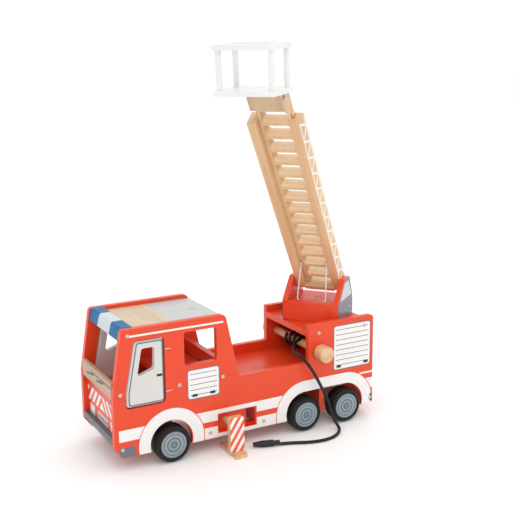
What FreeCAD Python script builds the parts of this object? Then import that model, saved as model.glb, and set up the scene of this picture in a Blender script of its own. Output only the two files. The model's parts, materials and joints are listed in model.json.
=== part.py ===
import FreeCAD, Part
import math
import os

# Wooden toy fire engine with a turntable ladder.
# Millimetres, +Z up, front of the engine towards -Y, its left side towards +X.
# The origin is on the ground, under the middle of the body.

V = FreeCAD.Vector
os.makedirs("parts", exist_ok=True)

# ---------------------------------------------------------------- driving dimensions
LENGTH = 400.0            # side panels, front to back
WIDTH = 129.0             # over the side panels
PLY = 8.0                 # plywood of the body
PANEL_BOTTOM = 19.0
CAB_TOP = 189.0
BED_WALL_TOP = 100.0
HOUSING_TOP = 154.0
HOUSING_FRONT = 290.0     # Y of the rear housing's front edge
ARCH_R, ARCH_Z = 30.3, 27.3

WHEEL_R, WHEEL_W, WHEEL_PROUD = 25.0, 22.0, 7.0
HUB_SKIN = 3.0            # wood left over the end of the axle
AXLE_R = 4.0
AXLE_Y = {"front": 80.0, "middle": 283.0, "rear": 351.0}

FLOOR_TOP = 85.5
DECK_TOP = 144.0
ROOF_TOP, ROOF_THICK = 183.7, 6.0
ROOF_SEAM = 93.8          # Y where the sliding roof starts
ROOF_GROOVE = 3.0
DOOR_GAP = 1.1
DOOR_THICK = 7.4
DOOR_PIN_Y = 68.7

REEL_Y, REEL_Z, REEL_R = 309.5, 112.3, 6.0
KNOB_R, KNOB_L = 11.5, 18.0
HOSE_R = 2.2

OUTRIGGER_Y, OUTRIGGER_Z, OUTRIGGER_R = 162.0, 40.0, 4.75
OUTRIGGER_FACE = 91.6     # X of the plate's outer face when pulled out

TURN_Y = 346.0            # turntable axis
TURN_ANGLE = 39.0         # turned from straight ahead towards the left side
TURN_INNER, TURN_OUTER = 35.0, 42.5
TURN_DEPTH = 36.0         # half of the base, along the ladder

LADDER_ANGLE = 53.65      # above horizontal
PIVOT_FWD, PIVOT_UP = -13.1, 51.3   # ladder axis, from the turntable axis and the deck
RAIL_IN, RAIL_OUT = 22.6, 34.6
RAIL_START, RAIL_END = -9.5, 309.5
RAIL_HALF = 11.15
SLIDE_LOW, SLIDE_HIGH = -2.0, 10.5  # extension board, across its thickness
SLIDE_START, SLIDE_END = -8.5, 349.0
SLOT_PITCH, SLOT_H, SLOT_HALF, SLOTS = 22.2, 14.4, 16.2, 15
SLOT_TOP = 320.8          # upper edge of the highest slot

BASE_LOW, BASE_TOP = 0.4, 27.8      # base block, above the deck
FRONT_TOP = 28.5          # turntable's front board, above the deck

PROP_S, PROP_N, PROP_R = 45.0, -7.5, 1.0
PROP_FOOT_FWD, PROP_FOOT_UP = 30.0, 30.3    # feet, just above the front board
HINGE_S, HINGE_N, HINGE_R = 352.5, -8.7, 2.0
EAR_R = 3.9               # round ends about the hinge pin
BASKET_TILT = 3.9         # front edge lower than the back edge
BASKET_A, BASKET_B = 34.2, 4.5      # basket's middle, ahead of and above its hinge

HOLE_FIT = 0.08           # radial clearance of a turning fit

HALF = WIDTH / 2
INNER = HALF - PLY
DOOR = [(19.2, 84.5, 5), (72.4, 84.5, 5), (72.4, 171.5, 5),
        (32.5, 171.5, 6), (23.2, 124.0, 12), (19.2, 104.0, 12)]
DOOR_WINDOW = [(34.8, 123.8, 3.5), (59.0, 132.2, 3.5), (59.8, 161.2, 3.5), (42.0, 161.2, 3.5)]
SCREWS = [(24.2, 180.5), (11.5, 104.7), (92.7, 103.4), (155.6, 103.5), (11.6, 30.6),
          (135.3, 27.9), (217.2, 28.0), (306.8, 140.2), (384.3, 140.2), (396.2, 28.0)]


# ---------------------------------------------------------------- helpers
def rounded(points, place):
    """Closed wire through (u, v, radius) corners; place(u, v) gives the 3-D point."""
    corners = []
    count = len(points)
    for i, (u, v, r) in enumerate(points):
        here = V(u, v, 0)
        back = (V(*points[i - 1][:2], 0) - here).normalize()
        ahead = (V(*points[(i + 1) % count][:2], 0) - here).normalize()
        half = back.getAngle(ahead) / 2
        if r <= 0 or half > math.pi / 2 - 1e-4:
            corners.append((here, here, here))
            continue
        reach = r / math.tan(half)
        centre = here + (back + ahead).normalize() * (r / math.sin(half))
        middle = centre + (here - centre).normalize() * r
        corners.append((here + back * reach, middle, here + ahead * reach))
    edges = []
    for i, (start, middle, end) in enumerate(corners):
        if (end - start).Length > 1e-6:
            edges.append(Part.Arc(*[place(p.x, p.y) for p in (start, middle, end)]).toShape())
        following = corners[(i + 1) % count][0]
        if (following - end).Length > 1e-6:
            edges.append(Part.makeLine(place(end.x, end.y), place(following.x, following.y)))
    return Part.Wire(Part.__sortEdges__(edges))


def plate_x(points, x0, x1):
    """Board with a (Y, Z) outline, from x0 to x1."""
    wire = rounded(points, lambda u, v: V(x0, u, v))
    return Part.Face(wire).extrude(V(x1 - x0, 0, 0))


def plate_z(points, z0, z1):
    """Board with an (X, Y) outline, from z0 to z1."""
    wire = rounded(points, lambda u, v: V(u, v, z0))
    return Part.Face(wire).extrude(V(0, 0, z1 - z0))


def rect(u0, u1, v0, v1, r=0.0):
    return [(u0, v0, r), (u1, v0, r), (u1, v1, r), (u0, v1, r)]


def box(x0, x1, y0, y1, z0, z1):
    return Part.makeBox(x1 - x0, y1 - y0, z1 - z0, V(x0, y0, z0))


def rod_x(radius, x0, x1, y, z):
    return Part.makeCylinder(radius, x1 - x0, V(x0, y, z), V(1, 0, 0))


def rod_z(radius, z0, z1, x, y):
    return Part.makeCylinder(radius, z1 - z0, V(x, y, z0))


def soften(shape, radius, pick):
    """Round the edges that pick(edge) chooses."""
    edges = [e for e in shape.Edges if pick(e)]
    return shape.makeFillet(radius, edges)


def mirror(shape):
    return shape.mirror(V(0, 0, 0), V(1, 0, 0))


def both_sides(maker):
    """The left piece and its mirror image."""
    left = maker()
    return left, mirror(left)


def bent_wire(points, radius, bend):
    """Wire with equal bends at its inner points."""
    points = [V(*p) for p in points]
    edges, start = [], points[0]
    for before, corner, after in zip(points, points[1:], points[2:]):
        u, w = (before - corner).normalize(), (after - corner).normalize()
        half = u.getAngle(w) / 2
        a, b = corner + u * (bend / math.tan(half)), corner + w * (bend / math.tan(half))
        middle = corner + (u + w).normalize() * (bend / math.sin(half) - bend)
        edges += [Part.makeLine(start, a), Part.Arc(a, middle, b).toShape()]
        start = b
    edges.append(Part.makeLine(start, points[-1]))
    ring = Part.Wire(Part.makeCircle(radius, points[0], points[1] - points[0]))
    return Part.Wire(edges).makePipeShell([ring], True, False, 2)


def tube(points, radius):
    """Round tube along straight runs joined by tangent arcs."""
    points = [V(*p) for p in points]
    edges = []
    start = points[0]
    for before, corner, after in zip(points, points[1:], points[2:]):
        u, w = (before - corner), (after - corner)
        half = (math.pi - u.getAngle(w)) / 2
        reach = 0.45 * min(u.Length, w.Length)
        bend = reach / math.tan(half)
        a = corner + u.normalize() * reach
        b = corner + w.normalize() * reach
        out = (u + w).normalize()
        middle = corner + out * (math.hypot(bend, reach) - bend)
        edges += [Part.makeLine(start, a), Part.Arc(a, middle, b).toShape()]
        start = b
    edges.append(Part.makeLine(start, points[-1]))
    path = Part.Wire(edges)
    ring = Part.Wire(Part.makeCircle(radius, points[0], points[1] - points[0]))
    return path.makePipeShell([ring], True, False, 2)


def bends(points):
    """Radius of each arc that tube() puts at the inner points."""
    points = [V(*p) for p in points]
    radii = []
    for before, corner, after in zip(points, points[1:], points[2:]):
        turn_angle = math.pi - (before - corner).getAngle(after - corner)
        reach = 0.45 * min((before - corner).Length, (after - corner).Length)
        radii.append(reach / math.tan(turn_angle / 2))
    return radii


ORIGIN = FreeCAD.Placement(V(0, -LENGTH / 2, 0), FreeCAD.Rotation())


def turn(angle, axis):
    return FreeCAD.Placement(V(0, 0, 0), FreeCAD.Rotation(axis, angle))


# Local frames: X across, -Y forward, Z up.
TURNTABLE = FreeCAD.Placement(V(0, TURN_Y, DECK_TOP), FreeCAD.Rotation(V(0, 0, 1), TURN_ANGLE))
LADDER = TURNTABLE * FreeCAD.Placement(V(0, -PIVOT_FWD, PIVOT_UP),
                                       FreeCAD.Rotation(V(1, 0, 0), -LADDER_ANGLE))
HINGE = LADDER * FreeCAD.Placement(V(0, -HINGE_S, HINGE_N),
                                   FreeCAD.Rotation(V(1, 0, 0), LADDER_ANGLE))
BASKET = HINGE * turn(BASKET_TILT, V(1, 0, 0)) * FreeCAD.Placement(
    V(0, -BASKET_A, BASKET_B), FreeCAD.Rotation())
PROP = LADDER * FreeCAD.Placement(V(0, -PROP_S, PROP_N), FreeCAD.Rotation(V(1, 0, 0), LADDER_ANGLE))


def save(name, shape, frame=None):
    """Write one piece; shape is in the body's frame, or in the frame given."""
    shape = shape.copy()
    if frame is not None:
        shape.transformShape(frame.toMatrix())
    shape.transformShape(ORIGIN.toMatrix())
    assert shape.isValid() and shape.Volume > 0, name
    shape.exportStep("parts/" + name + ".step")


# ---------------------------------------------------------------- screws
def screw(y, z):
    head = soften(rod_x(2.6, HALF, HALF + 1.0, y, z), 0.6, lambda e: e.CenterOfMass.x > HALF + 0.9)
    for cross in (box(HALF + 0.5, HALF + 2, y - 1.6, y + 1.6, z - 0.3, z + 0.3),
                  box(HALF + 0.5, HALF + 2, y - 0.3, y + 0.3, z - 1.6, z + 1.6)):
        head = head.cut(cross)
    return head.fuse(rod_x(1.3, HALF - 19.0, HALF, y, z)).removeSplitter()


left_screws = [screw(y, z) for y, z in SCREWS]
screws = left_screws + [mirror(s) for s in left_screws]
shanks = Part.makeCompound([rod_x(1.3, -HALF, HALF, y, z) for y, z in SCREWS])
save("body_screws", Part.makeCompound(screws))


# ---------------------------------------------------------------- side panels
def door_wire(gap, x):
    wire = rounded(DOOR, lambda u, v: V(x, u, v))
    return wire.makeOffset2D(gap) if gap else wire


def side_panel():
    outline = [(11.5, PANEL_BOTTOM, 3), (LENGTH, PANEL_BOTTOM, 4), (LENGTH, HOUSING_TOP, 5),
               (HOUSING_FRONT, HOUSING_TOP, 2.5), (HOUSING_FRONT, BED_WALL_TOP, 3),
               (180, BED_WALL_TOP, 6), (161, CAB_TOP, 8), (15.8, CAB_TOP, 5),
               (1.5, 103, 12), (1.0, 32.5, 4)]
    panel = plate_x(outline, INNER, HALF)
    windows = Part.Face(door_wire(DOOR_GAP, INNER)).extrude(V(PLY, 0, 0))
    arch = rod_x(ARCH_R, INNER, HALF, AXLE_Y["front"] - 1.0, ARCH_Z)
    arches = [arch] + [rod_x(ARCH_R, INNER, HALF, AXLE_Y[a], ARCH_Z) for a in ("middle", "rear")]
    arches.append(box(INNER, HALF, AXLE_Y["middle"], AXLE_Y["rear"], 0, ARCH_Z + ARCH_R))
    recess = plate_x([(146.8, 25.2, 5), (204.4, 25.2, 1), (204.4, 51.6, 1), (146.8, 51.6, 6)],
                     INNER, HALF)
    window = plate_x(rect(100.7, 147.6, 127.7, 173.5, 4), INNER, HALF)
    reel = rod_x(REEL_R + HOLE_FIT, INNER, HALF, REEL_Y, REEL_Z)
    groove = box(INNER - 1, INNER + ROOF_GROOVE, ROOF_SEAM - 0.6, LENGTH,
                 ROOF_TOP - ROOF_THICK - 0.3, ROOF_TOP + 0.3)
    pins = [rod_z(1.0, 79.5, 90.5, HALF - 3.9, DOOR_PIN_Y),
            rod_z(1.0, 165.5, 176.5, HALF - 3.9, DOOR_PIN_Y)]
    wires = [rod_x(0.75, HALF - 5, HALF, 81.0, z) for z in (99.2, 156.0)]
    return panel.cut(arches + [windows, recess, window, reel, groove, shanks] + pins + wires)


left, right = both_sides(side_panel)
save("left_side_panel", left)
save("right_side_panel", right)


# ---------------------------------------------------------------- boards across the body
def cross_board(name, y0, y1, z0, z1, cuts=()):
    board = box(-INNER, INNER, y0, y1, z0, z1)
    save(name, board.cut([shanks] + list(cuts)))


cross_board("floor_board", 16, LENGTH - PLY, FLOOR_TOP - PLY, FLOOR_TOP)
cross_board("front_board", 8, 16, 26, 109)
cross_board("seat_board", 84, 150, 99.5, 99.5 + PLY)
cross_board("cab_rear_wall", 151.5, 159.5, FLOOR_TOP, 126)
cross_board("front_bulkhead", 131, 139, PANEL_BOTTOM, FLOOR_TOP - PLY)
cross_board("rear_bulkhead", 213, 221, PANEL_BOTTOM, FLOOR_TOP - PLY)
cross_board("wheel_divider", 313, 321, PANEL_BOTTOM, FLOOR_TOP - PLY)
cross_board("rear_wall", LENGTH - PLY, LENGTH, PANEL_BOTTOM, DECK_TOP - PLY)
cross_board("rear_deck", HOUSING_FRONT, LENGTH, DECK_TOP - PLY, DECK_TOP,
            [rod_z(2.5, DECK_TOP - PLY, DECK_TOP, 0, TURN_Y)])

bumper = plate_x([(8, 31.5, 0), (8, 44.5, 0), (1.4, 44.5, 1.5), (1.2, 36, 2), (3.4, 31.5, 1)],
                 -INNER, INNER)
save("front_bumper", bumper)
wiper_bar = soften(box(-INNER, INNER, 2, 8, 97.4, 120), 1.5,
                   lambda e: e.CenterOfMass.z > 119 and abs(e.CenterOfMass.x) < 1)
save("wiper_bar", wiper_bar)
light_bar = plate_x([(14, 172, 2), (35.2, 172, 1), (35.2, 189.6, 3), (18.4, 189.6, 3.5)],
                    -INNER, INNER)
save("light_bar", light_bar.cut(shanks))

save("front_roof", box(-INNER, INNER, 35.2, ROOF_SEAM - 0.2, ROOF_TOP - ROOF_THICK, ROOF_TOP))
roof_edge = INNER + ROOF_GROOVE - 0.3
sliding_roof = box(-roof_edge, roof_edge, ROOF_SEAM, 162.5, ROOF_TOP - ROOF_THICK, ROOF_TOP)
finger_hole = Part.makeSphere(9.0, V(0, 143, ROOF_TOP + 6.4))
save("sliding_roof", sliding_roof.cut(finger_hole))

# ---------------------------------------------------------------- wheels and axles
def wheel(y):
    outer = HALF + WHEEL_PROUD
    inner = outer - WHEEL_W
    profile = [(AXLE_R, inner), (WHEEL_R - 1.5, inner), (WHEEL_R, inner + 1.5),
               (WHEEL_R, outer - 8.0), (WHEEL_R - 1.2, outer - 7.4), (WHEEL_R - 1.2, outer - 6.2),
               (WHEEL_R - 0.4, outer - 5.6), (WHEEL_R - 0.8, outer - 3.0),
               (WHEEL_R - 3.2, outer - 0.5), (WHEEL_R - 4.5, outer), (0, outer),
               (0, outer - HUB_SKIN), (AXLE_R, outer - HUB_SKIN)]
    wire = Part.makePolygon([V(x, y + r, WHEEL_R) for r, x in profile + profile[:1]])
    return Part.Face(wire).revolve(V(0, y, WHEEL_R), V(1, 0, 0), 360)


bore = Part.makeCompound([rod_x(AXLE_R + HOLE_FIT, -60, 60, y, WHEEL_R) for y in AXLE_Y.values()])
blocks = [box(-46, 46, y - 8, y + 8, 14, FLOOR_TOP - PLY).cut(bore) for y in AXLE_Y.values()]
save("axle_blocks", Part.makeCompound(blocks))
for place, y in AXLE_Y.items():
    reach = HALF + WHEEL_PROUD - HUB_SKIN
    save(place + "_axle", rod_x(AXLE_R, -reach, reach, y, WHEEL_R))
    save(place + "_wheels", Part.makeCompound(both_sides(lambda: wheel(y))))


# ---------------------------------------------------------------- doors
def door():
    x0 = HALF - 0.2 - DOOR_THICK
    board = Part.Face(door_wire(0, x0)).extrude(V(DOOR_THICK, 0, 0))
    board = board.cut(plate_x(DOOR_WINDOW, x0, HALF))
    rear = max(y for y, z, r in DOOR)
    board = soften(board, DOOR_THICK / 2 - 0.05,
                   lambda e: abs(e.CenterOfMass.y - rear) < 1e-3 and e.BoundBox.ZLength > 40)
    pins = [rod_z(1.0 + HOLE_FIT, 80, 90.6, HALF - 3.9, DOOR_PIN_Y),
            rod_z(1.0 + HOLE_FIT, 165.4, 176, HALF - 3.9, DOOR_PIN_Y)]
    return board.cut(pins)


left, right = both_sides(door)
save("left_door", left)
save("right_door", right)

door_pins = [rod_z(1.0, z, z + 11, HALF - 3.9, DOOR_PIN_Y) for z in (79.5, 165.5)]
save("door_pins", Part.makeCompound(door_pins + [mirror(p) for p in door_pins]))


def hinge_wire(z):
    """Bent wire beside the door's pivot; the open door comes to rest against it."""
    points = [(HALF - 5, 81, z), (HALF + 0.95, 81, z), (HALF + 0.95, 73.3, z)]
    return bent_wire(points, 0.75, 1.0)


hinge_wires = [hinge_wire(z) for z in (99.2, 156.0)]
save("door_hinge_wires", Part.makeCompound(hinge_wires + [mirror(w) for w in hinge_wires]))

# ---------------------------------------------------------------- hose reel
reel_end = HALF + 0.6 + 14.0
save("reel_dowel", rod_x(REEL_R, -reel_end, reel_end, REEL_Y, REEL_Z))


def knob():
    x0 = HALF + 0.6
    body = soften(rod_x(KNOB_R, x0, x0 + KNOB_L, REEL_Y, REEL_Z), 1.2, lambda e: True)
    return body.cut(rod_x(REEL_R, x0, reel_end, REEL_Y, REEL_Z))


save("reel_knobs", Part.makeCompound(both_sides(knob)))

COIL_R = REEL_R + 0.5 + HOSE_R
COIL_X = (-17.0, -3.0, 16.0)     # the loose turns, along the reel
coil = [Part.makeTorus(COIL_R, HOSE_R, V(x, REEL_Y, REEL_Z), V(1, 0, 0)) for x in COIL_X]
save("hose_coil", Part.makeCompound(coil))

HOSE = [(16.0, 303.5, 118.6), (20.0, 291.5, 113.5), (33.0, 283.5, 107.5), (51.0, 278.5, 110.5),
        (67.5, 276.0, 110.5), (78.0, 280.0, 102.5), (80.0, 290.0, 86.0), (77.0, 303.0, 64.0),
        (75.6, 313.0, 46.0), (75.8, 318.5, 26.5), (80.0, 324.0, 9.5), (93.0, 324.5, 2.5),
        (108.0, 309.0, 2.5), (114.0, 287.0, 2.5), (108.5, 262.0, 2.5), (98.5, 242.5, 2.5),
        (93.0, 226.0, 2.5)]
save("fire_hose", tube(HOSE, HOSE_R))
tip = V(*HOSE[-1])
aim = (tip - V(*HOSE[-2])).normalize()
NOZZLE_LIFT = 2.2         # keeps the thick barrel off the ground
nozzle = Part.makeCylinder(3.6, 9, tip, aim)
nozzle = nozzle.fuse(Part.makeCylinder(4.6, 15, tip + aim * 9, aim))
nozzle = nozzle.fuse(Part.makeCone(4.6, 2.8, 13, tip + aim * 24, aim))
nozzle.translate(V(0, 0, NOZZLE_LIFT))
save("hose_nozzle", nozzle.removeSplitter())


# ---------------------------------------------------------------- outriggers
def guide_board():
    board = box(INNER - PLY, INNER, 139, 213, PANEL_BOTTOM, FLOOR_TOP - PLY)
    bore = rod_x(OUTRIGGER_R + HOLE_FIT, 0, HALF, OUTRIGGER_Y, OUTRIGGER_Z)
    return board.cut([bore, box(0, HALF, 193.7, 206.3, 27, 50), shanks])


def outrigger_dowel():
    """Dowel with a turned head that stops it behind the guide board."""
    dowel = rod_x(OUTRIGGER_R, 30.5, OUTRIGGER_FACE - 1.0, OUTRIGGER_Y, OUTRIGGER_Z)
    head = soften(rod_x(7.0, 30.5, 36.0, OUTRIGGER_Y, OUTRIGGER_Z), 1.0, lambda e: True)
    return dowel.fuse(head).removeSplitter()


def outrigger_plate():
    outline = [(152.0, 5.5, 0.8), (172.6, 5.5, 0.8), (172.6, 54.0, 4.5), (152.0, 54.0, 4.5)]
    board = plate_x(outline, OUTRIGGER_FACE - PLY, OUTRIGGER_FACE)
    return board.cut(outrigger_dowel())


def outrigger_foot():
    return plate_z(rect(53.5, 104.0, 153.3, 171.3, 3.0), 0.4, 5.5)


for name, maker in (("guide_board", guide_board), ("outrigger_dowel", outrigger_dowel),
                    ("outrigger_plate", outrigger_plate), ("outrigger_foot", outrigger_foot)):
    left, right = both_sides(maker)
    save("left_" + name, left)
    save("right_" + name, right)

# ---------------------------------------------------------------- turntable
base = box(-TURN_INNER, TURN_INNER, -TURN_DEPTH + PLY, TURN_DEPTH, BASE_LOW, BASE_TOP)
base = base.cut([rod_z(2.5 + HOLE_FIT, 0, 40, 0, 0), rod_z(4.6, BASE_TOP - 3.4, 40, 0, 0)])
save("turntable_base", base, TURNTABLE)
front = box(-TURN_INNER, TURN_INNER, -TURN_DEPTH, -TURN_DEPTH + PLY, BASE_LOW, FRONT_TOP)
front = soften(front, 1.0, lambda e: e.CenterOfMass.z > FRONT_TOP - 0.1
               and abs(e.CenterOfMass.x) < 1 and e.CenterOfMass.y < -TURN_DEPTH + 1)
save("turntable_front_board", front, TURNTABLE)


def cheek():
    d = TURN_DEPTH
    outline = [(-d, BASE_LOW, 2), (-d, 30, 4), (-5, 60, 4), (19, 60, 4), (d, 24.5, 4),
               (d, BASE_LOW, 2)]
    board = plate_x(outline, TURN_INNER, TURN_OUTER)
    corners = plate_z([(0, -d, 0), (TURN_OUTER, -d, 3), (TURN_OUTER, d, 3), (0, d, 0)], 0, 70)
    return board.common(corners).cut(rod_x(3.0, 0, TURN_INNER + 6, -PIVOT_FWD, PIVOT_UP))


left, right = both_sides(cheek)
save("left_cheek", left, TURNTABLE)
save("right_cheek", right, TURNTABLE)
head_low = BASE_TOP - 3.2
bolt = rod_z(2.5, -14, head_low, 0, 0).fuse(rod_z(4.2, head_low, head_low + 2.4, 0, 0))
bolt = bolt.cut(box(-5, 5, -0.5, 0.5, head_low + 1.4, 40)).removeSplitter()
save("turntable_bolt", bolt, TURNTABLE)
hexagon = [V(4.9 * math.cos(math.radians(a)), 4.9 * math.sin(math.radians(a)), -12.2)
           for a in range(0, 361, 60)]
nut = Part.Face(Part.makePolygon(hexagon)).extrude(V(0, 0, 3.2))
nut = nut.fuse(rod_z(6.5, -9, -8, 0, 0)).cut(rod_z(2.5, -20, 0, 0, 0)).removeSplitter()
save("turntable_nut", nut, TURNTABLE)


# ---------------------------------------------------------------- ladder
def rail():
    outline = [(-RAIL_END, -RAIL_HALF, 0.8), (-RAIL_START, -RAIL_HALF, 4),
               (-RAIL_START, RAIL_HALF, 4), (-RAIL_END, RAIL_HALF, 0.8)]
    board = plate_x(outline, RAIL_IN, RAIL_OUT)
    groove = box(0, RAIL_IN + 3.3, -400, 100, 1.2, 6.8)
    pin = rod_x(3.0 + HOLE_FIT, RAIL_IN + 4.3, 60, 0, 0)
    eye = rod_x(PROP_R + HOLE_FIT, 0, RAIL_IN + 4.3, -PROP_S, PROP_N)
    return board.cut([groove, pin, eye])


left, right = both_sides(rail)
save("left_ladder_rail", left, LADDER)
save("right_ladder_rail", right, LADDER)
save("ladder_crossbar", box(-RAIL_IN, RAIL_IN, 3.0, -RAIL_START, -RAIL_HALF, -3.0), LADDER)
pins = both_sides(lambda: rod_x(3.0, RAIL_IN + 4.4, TURN_INNER + 6, 0, 0))
save("ladder_pivot_pins", Part.makeCompound(pins), LADDER)


def rung_slot(top):
    """Slot through the board; its lower edge is bevelled on the underside."""
    low = top - SLOT_H
    mid = SLIDE_LOW + 4.0

    def wire(bottom, half, z):
        corners = [(-half, -bottom, 3.5), (half, -bottom, 3.5), (half, -top, 3.5),
                   (-half, -top, 3.5)]
        return rounded(corners, lambda u, v: V(u, v, z))

    bevel = Part.makeLoft([wire(low, SLOT_HALF, mid), wire(low - 2.8, SLOT_HALF + 1.5, SLIDE_LOW - 0.01)],
                          True, True)
    through = Part.Face(wire(low, SLOT_HALF, mid)).extrude(V(0, 0, 20))
    return [bevel, through]


extension = box(-RAIL_IN + 0.3, RAIL_IN - 0.3, -SLIDE_END, -SLIDE_START, SLIDE_LOW, SLIDE_HIGH)
tongue = box(-RAIL_IN - 3.0, RAIL_IN + 3.0, -SLIDE_END + 34, -SLIDE_START, 1.5, 6.5)
extension = extension.fuse(tongue).removeSplitter()
cutters = []
for k in range(SLOTS):
    cutters += rung_slot(SLOT_TOP - SLOT_PITCH * k)
extension = extension.cut(cutters)
save("extension_board", extension, LADDER)

# ---------------------------------------------------------------- basket and its hinge
BLOCK_HALF = RAIL_IN - 0.3
BLOCK_LOW = HINGE_N - 6.3             # underside of the block, across the ladder
block_start, block_end = HINGE_S - 20.5, HINGE_S - 7.6
block = box(-BLOCK_HALF, BLOCK_HALF, -block_end, -block_start, BLOCK_LOW, SLIDE_LOW)
lip = box(-BLOCK_HALF, BLOCK_HALF, -HINGE_S - 3.0, -block_start - 3, BLOCK_LOW, BLOCK_LOW + 2.0)
tongue = box(-11, 11, -HINGE_S, -block_start - 6, BLOCK_LOW, HINGE_N + EAR_R)
block = block.fuse([lip, tongue, rod_x(EAR_R, -11, 11, -HINGE_S, HINGE_N)]).removeSplitter()
block = soften(block, 1.0, lambda e: abs(e.CenterOfMass.z - BLOCK_LOW) < 1e-3
               and e.BoundBox.XLength > 30)
block = block.cut(rod_x(HINGE_R + HOLE_FIT, -30, 30, -HINGE_S, HINGE_N))
save("basket_block", block, LADDER)
save("basket_hinge_pin", rod_x(HINGE_R, -20.5, 20.5, 0, 0), HINGE)


def bracket():
    """Ear under the basket floor, round about the hinge."""
    ear = rod_x(EAR_R, 11.4, 20.5, BASKET_A, -BASKET_B)
    ear = ear.fuse(box(11.4, 20.5, BASKET_A - EAR_R, BASKET_A + EAR_R, -BASKET_B, 0)).removeSplitter()
    return ear.cut(rod_x(HINGE_R, 0, 60, BASKET_A, -BASKET_B))


save("basket_brackets", Part.makeCompound(both_sides(bracket)), BASKET)
save("basket_floor", plate_z(rect(-37.6, 37.6, -31.2, 31.2, 1.2), 0, 6), BASKET)
posts = [rod_z(3.5, 6, 51.4, x, y) for x in (-32.6, 32.6) for y in (-24.5, 24.5)]
save("basket_posts", Part.makeCompound(posts), BASKET)
top_rail = plate_z(rect(-37.6, 37.6, -31.2, 31.2, 1.2), 51.4, 57.9)
save("basket_rail", top_rail.cut(plate_z(rect(-28, 28, -18, 18, 3), 50, 60)), BASKET)

# ---------------------------------------------------------------- wire struts under the ladder
HOOK = 3.0                # the feet turn inwards
PROP_TOP_HALF, PROP_FOOT_HALF = 19.0, 21.5
foot_y = -(PROP_FOOT_FWD - PIVOT_FWD) + PROP_S * math.cos(math.radians(LADDER_ANGLE)) \
    - PROP_N * math.sin(math.radians(LADDER_ANGLE))
foot_z = PROP_FOOT_UP - PIVOT_UP - PROP_S * math.sin(math.radians(LADDER_ANGLE)) \
    - PROP_N * math.cos(math.radians(LADDER_ANGLE))
strut = bent_wire([(RAIL_IN + 3.8, 0, 0), (PROP_TOP_HALF, 0, 0), (PROP_FOOT_HALF, foot_y, foot_z),
                   (PROP_FOOT_HALF - HOOK, foot_y, foot_z)], PROP_R, 2.2)
save("prop_wire", Part.makeCompound([strut, mirror(strut)]), PROP)

print("hose bends", " ".join("%.0f" % r for r in bends(HOSE)))
print("ladder axis", TURNTABLE.multVec(V(0, -PIVOT_FWD, PIVOT_UP)) + V(0, -LENGTH / 2, 0))
print("prop axis", PROP.multVec(V(0, 0, 0)) + V(0, -LENGTH / 2, 0))
print("basket axis", HINGE.multVec(V(0, 0, 0)) + V(0, -LENGTH / 2, 0))
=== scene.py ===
import json
import math

import bmesh
import bpy
from mathutils import Matrix, Vector


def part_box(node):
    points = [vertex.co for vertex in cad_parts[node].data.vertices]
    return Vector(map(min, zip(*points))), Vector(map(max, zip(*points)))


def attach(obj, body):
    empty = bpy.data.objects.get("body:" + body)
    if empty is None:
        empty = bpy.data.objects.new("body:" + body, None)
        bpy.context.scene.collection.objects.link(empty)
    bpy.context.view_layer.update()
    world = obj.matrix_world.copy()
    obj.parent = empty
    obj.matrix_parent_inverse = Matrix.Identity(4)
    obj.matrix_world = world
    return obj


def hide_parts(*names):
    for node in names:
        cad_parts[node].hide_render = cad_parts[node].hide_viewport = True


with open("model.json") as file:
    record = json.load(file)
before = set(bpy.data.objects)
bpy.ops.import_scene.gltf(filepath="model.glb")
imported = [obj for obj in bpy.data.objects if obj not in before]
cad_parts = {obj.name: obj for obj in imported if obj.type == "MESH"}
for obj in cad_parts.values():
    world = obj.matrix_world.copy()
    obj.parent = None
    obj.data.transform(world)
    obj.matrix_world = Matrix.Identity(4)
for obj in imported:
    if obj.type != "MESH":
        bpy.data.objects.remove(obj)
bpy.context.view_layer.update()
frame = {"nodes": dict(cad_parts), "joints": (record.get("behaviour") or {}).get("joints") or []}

# A wooden toy fire engine: printed plywood body, rubber-tyred wheels, turning wooden ladder,
# white basket and a black hose. Metres; sizes written in millimetres are multiplied by MM.

NODES = frame["nodes"]
MM = 0.001

# Side prints and the hose are placed from FRONT, which is 1 mm behind the body's front end at
# Y -0.200, so they all sit 1 mm further back than the CAD arches and the CAD hose.
PANEL_LOW, PANEL_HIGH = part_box("left_side_panel")
FRONT = PANEL_LOW.y                    # front edge of the side panels
SIDE_X = PANEL_HIGH.x                  # outer face of the left panel
JOINTS = {joint["name"]: joint for joint in frame["joints"]}
SWIVEL = Vector(JOINTS["turntable_swivel"]["pos_m"])
LADDER_AXIS = Vector(JOINTS["ladder_elevation"]["pos_m"])
LADDER_ALONG = Vector(JOINTS["ladder_extension"]["axis"])
LADDER_ACROSS = -Vector(JOINTS["ladder_elevation"]["axis"])
HOUSE_AHEAD = Vector((LADDER_ALONG.x, LADDER_ALONG.y, 0)).normalized()


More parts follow.
